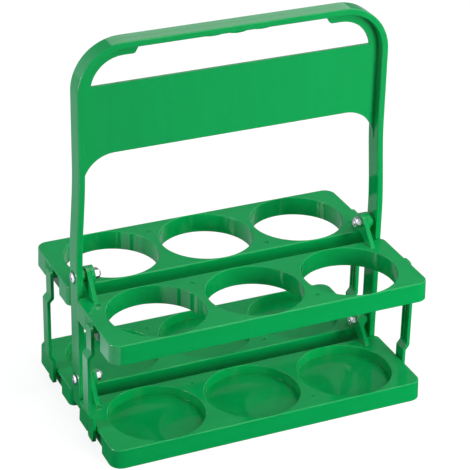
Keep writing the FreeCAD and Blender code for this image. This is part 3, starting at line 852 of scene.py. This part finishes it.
@dataclass(frozen=True)
class Studio:
    """Pale floor, white surroundings and soft lamps."""

    floor_reach: float = 4.0
    floor_colour: Colour = (0.14, 0.14, 0.14)
    seen_floor_colour: Colour = (0.24, 0.24, 0.23)
    seen_floor_glow: float = 0.86
    # How bright gloss shows the floor, along Y or X.
    floor_behind: Ramp = (0.06, 0.22, 0.0, 0.42)
    floor_beside: Ramp = (-0.18, -0.24, 0.0, 0.42)
    floor_ahead: Ramp = (-0.30, -0.52, 0.05, 0.22)
    floor_near_left: Ramp = (-0.18, -0.22, 0.0, 0.5)
    near_left_end: Ramp = (0.15, 0.09, 0.0, 1.0)
    # How bright gloss shows the air, along the X of its direction.
    air_left: Ramp = (-0.1, -0.6, 0.22, 0.85)
    air_right: Ramp = (0.5, 0.9, 0.22, 0.8)
    gloss_colour: Colour = (0.88, 0.97, 1.12)
    seen_air_colour: Colour = (1.0, 1.0, 1.0)
    ambient: float = 0.11
    ambient_colour: Colour = (0.80, 0.95, 1.45)
    lamps: tuple[SoftLamp, ...] = (
        SoftLamp("key lamp", (0.60, -1.12, 1.22), (1.0, 1.0), 9.0, (1.0, 1.0, 0.94)),
        SoftLamp("overhead lamp", (0.70, 0.05, 1.90), (1.5, 1.5), 14.0, (0.98, 1.0, 0.98),
                 LampRole.LIGHT_AND_GLOSS),
        SoftLamp("front right lamp", (0.75, -1.25, 0.35), (0.65, 0.65), 14.5, (1.0, 1.0, 0.96)),
        SoftLamp("front right card", (0.75, -1.25, 0.35), (0.75, 0.75), 4.0, (0.9, 1.0, 1.0),
                 LampRole.GLOSS),
        SoftLamp("front card", (0.375, -1.13, 0.80), (0.4, 0.4), 0.9, (0.9, 1.0, 1.0),
                 LampRole.GLOSS),
        SoftLamp("left lamp", (-1.60, 0.1, 0.5), (0.7, 0.7), 14.0,
                 role=LampRole.LIGHT_AND_GLOSS),
        SoftLamp("rear lamp", (0.6, 1.6, 1.2), (1.2, 1.2), 5.0),
        SoftLamp("rear card", (0.18, 0.40, 0.58), (0.55, 0.16), 0.25, role=LampRole.GLOSS,
                 aim=(0.18, 0.0, 0.58)),
    )

    def build(self) -> None:
        """Build the floor, the world and the lamps."""
        self._floor()
        self._world()
        for lamp in self.lamps:
            lamp.hang()

    def _floor(self) -> None:
        """Lay the floor; it is white to the camera and keeps the shadow."""
        mesh = bpy.data.meshes.new("studio_floor")
        shape = bmesh.new()
        bmesh.ops.create_grid(shape, x_segments=1, y_segments=1, size=self.floor_reach)
        shape.to_mesh(mesh)
        shape.free()
        floor = bpy.data.objects.new("studio_floor", mesh)
        bpy.context.scene.collection.objects.link(floor)
        mesh.materials.append(self._floor_material())

    def _floor_material(self) -> bpy.types.Material:
        """Make the floor's material, which isn't there for a look from below."""
        material = bpy.data.materials.new("pale floor")
        sheet = NodeSheet.blank(material)
        matt = sheet.add("ShaderNodeBsdfDiffuse", None, {"Color": opaque(self.floor_colour)})
        mirrored = sheet.add("ShaderNodeEmission", None, {
            "Color": opaque(self.gloss_colour), "Strength": self._mirrored_floor(sheet)})
        shaded = sheet.add("ShaderNodeBsdfDiffuse", None,
                           {"Color": opaque(self.seen_floor_colour)})
        glow = sheet.add("ShaderNodeEmission", None, {"Strength": self.seen_floor_glow})
        seen = sheet.add("ShaderNodeAddShader")
        sheet.feed(seen.inputs[0], shaded.outputs[0])
        sheet.feed(seen.inputs[1], glow.outputs[0])
        backface = sheet.add("ShaderNodeNewGeometry").outputs["Backfacing"]
        shown = sheet.mix_shaders(backface, sheet.by_ray(matt, mirrored, seen),
                                  sheet.add("ShaderNodeBsdfTransparent"))
        sheet.add("ShaderNodeOutputMaterial", None, {"Surface": shown.outputs[0]})
        return material

    def _mirrored_floor(self, sheet: NodeSheet) -> bpy.types.NodeSocket:
        """Work out how bright gloss shows each place of the floor.

        Args:
            sheet: the floor material's nodes.

        Returns:
            The socket with the brightness.
        """
        places = sheet.add("ShaderNodeTexCoord").outputs["Object"]
        split = sheet.add("ShaderNodeSeparateXYZ", None, {"Vector": places})
        behind = sheet.ramp(split.outputs["Y"], *self.floor_behind)
        beside = sheet.ramp(split.outputs["X"], *self.floor_beside)
        ahead = sheet.ramp(split.outputs["Y"], *self.floor_ahead)
        near_left = sheet.maths(MathStep.MULTIPLY,
                                sheet.ramp(split.outputs["X"], *self.floor_near_left),
                                sheet.ramp(split.outputs["Y"], *self.near_left_end))
        return sheet.maths(MathStep.ADD, sheet.maths(MathStep.ADD, ahead, near_left),
                           sheet.maths(MathStep.MAXIMUM, behind, beside))

    def _world(self) -> None:
        """Build the air: white to the camera, bright at both sides to gloss."""
        world = bpy.data.worlds.new("studio air")
        bpy.context.scene.world = world
        sheet = NodeSheet.blank(world)
        around = sheet.add("ShaderNodeTexCoord").outputs["Generated"]
        split = sheet.add("ShaderNodeSeparateXYZ", None, {"Vector": around})
        bright = sheet.maths(MathStep.MAXIMUM,
                             sheet.ramp(split.outputs["X"], *self.air_left),
                             sheet.ramp(split.outputs["X"], *self.air_right))
        air = sheet.add("ShaderNodeBackground", None, {
            "Color": opaque(self.ambient_colour), "Strength": self.ambient})
        mirrored = sheet.add("ShaderNodeBackground", None, {
            "Color": opaque(self.gloss_colour), "Strength": bright})
        seen = sheet.add("ShaderNodeBackground", None, {
            "Color": opaque(self.seen_air_colour), "Strength": 1.0})
        sheet.add("ShaderNodeOutputWorld", None, {
            "Surface": sheet.by_ray(air, mirrored, seen).outputs[0]})


@dataclass(frozen=True)
class PhotoCamera:
    """The camera at the photograph's place, with its angles in degrees."""

    azimuth: float = -24.542
    elevation: float = 27.966
    roll: float = 1.211
    place: Point = (-0.681346, -1.503226, 1.040713)
    focal_pixels: float = 1914.47
    frame_pixels: float = 470.0
    sensor_width: float = 36.0
    sight: tuple[float, float] = (0.05, 50.0)

    def build(self) -> None:
        """Make the camera and set it as the scene's."""
        turn, rise, roll = (math.radians(v) for v in (self.azimuth, self.elevation, self.roll))
        ahead = Vector((-math.sin(turn) * math.cos(rise), math.cos(turn) * math.cos(rise),
                        -math.sin(rise)))
        right = ahead.cross(Vector((0.0, 0.0, 1.0))).normalized()
        up = right.cross(ahead)
        across = right * math.cos(roll) + up * math.sin(roll)
        upright = up * math.cos(roll) - right * math.sin(roll)
        axes = Matrix((across, upright, -ahead)).transposed()
        data = bpy.data.cameras.new("photo camera")
        data.sensor_width = self.sensor_width
        data.lens = self.sensor_width * self.focal_pixels / self.frame_pixels
        data.clip_start, data.clip_end = self.sight
        camera = bpy.data.objects.new("photo camera", data)
        bpy.context.scene.collection.objects.link(camera)
        camera.matrix_world = Matrix.Translation(self.place) @ axes.to_4x4()
        bpy.context.scene.camera = camera


def main() -> None:
    """Dress the carrier, light it and place the camera."""
    logging.basicConfig(level=logging.INFO, format="%(name)s: %(message)s")
    shelf = EffectShelf()
    HandleFrame().build(shelf)
    BottlePlates().build(shelf)
    FoldingLinks().build(shelf)
    PivotHardware().build(shelf)
    Studio().build()
    PhotoCamera().build()
    bpy.context.scene.view_settings.view_transform = "Standard"


if __name__ == "__main__":
    main()
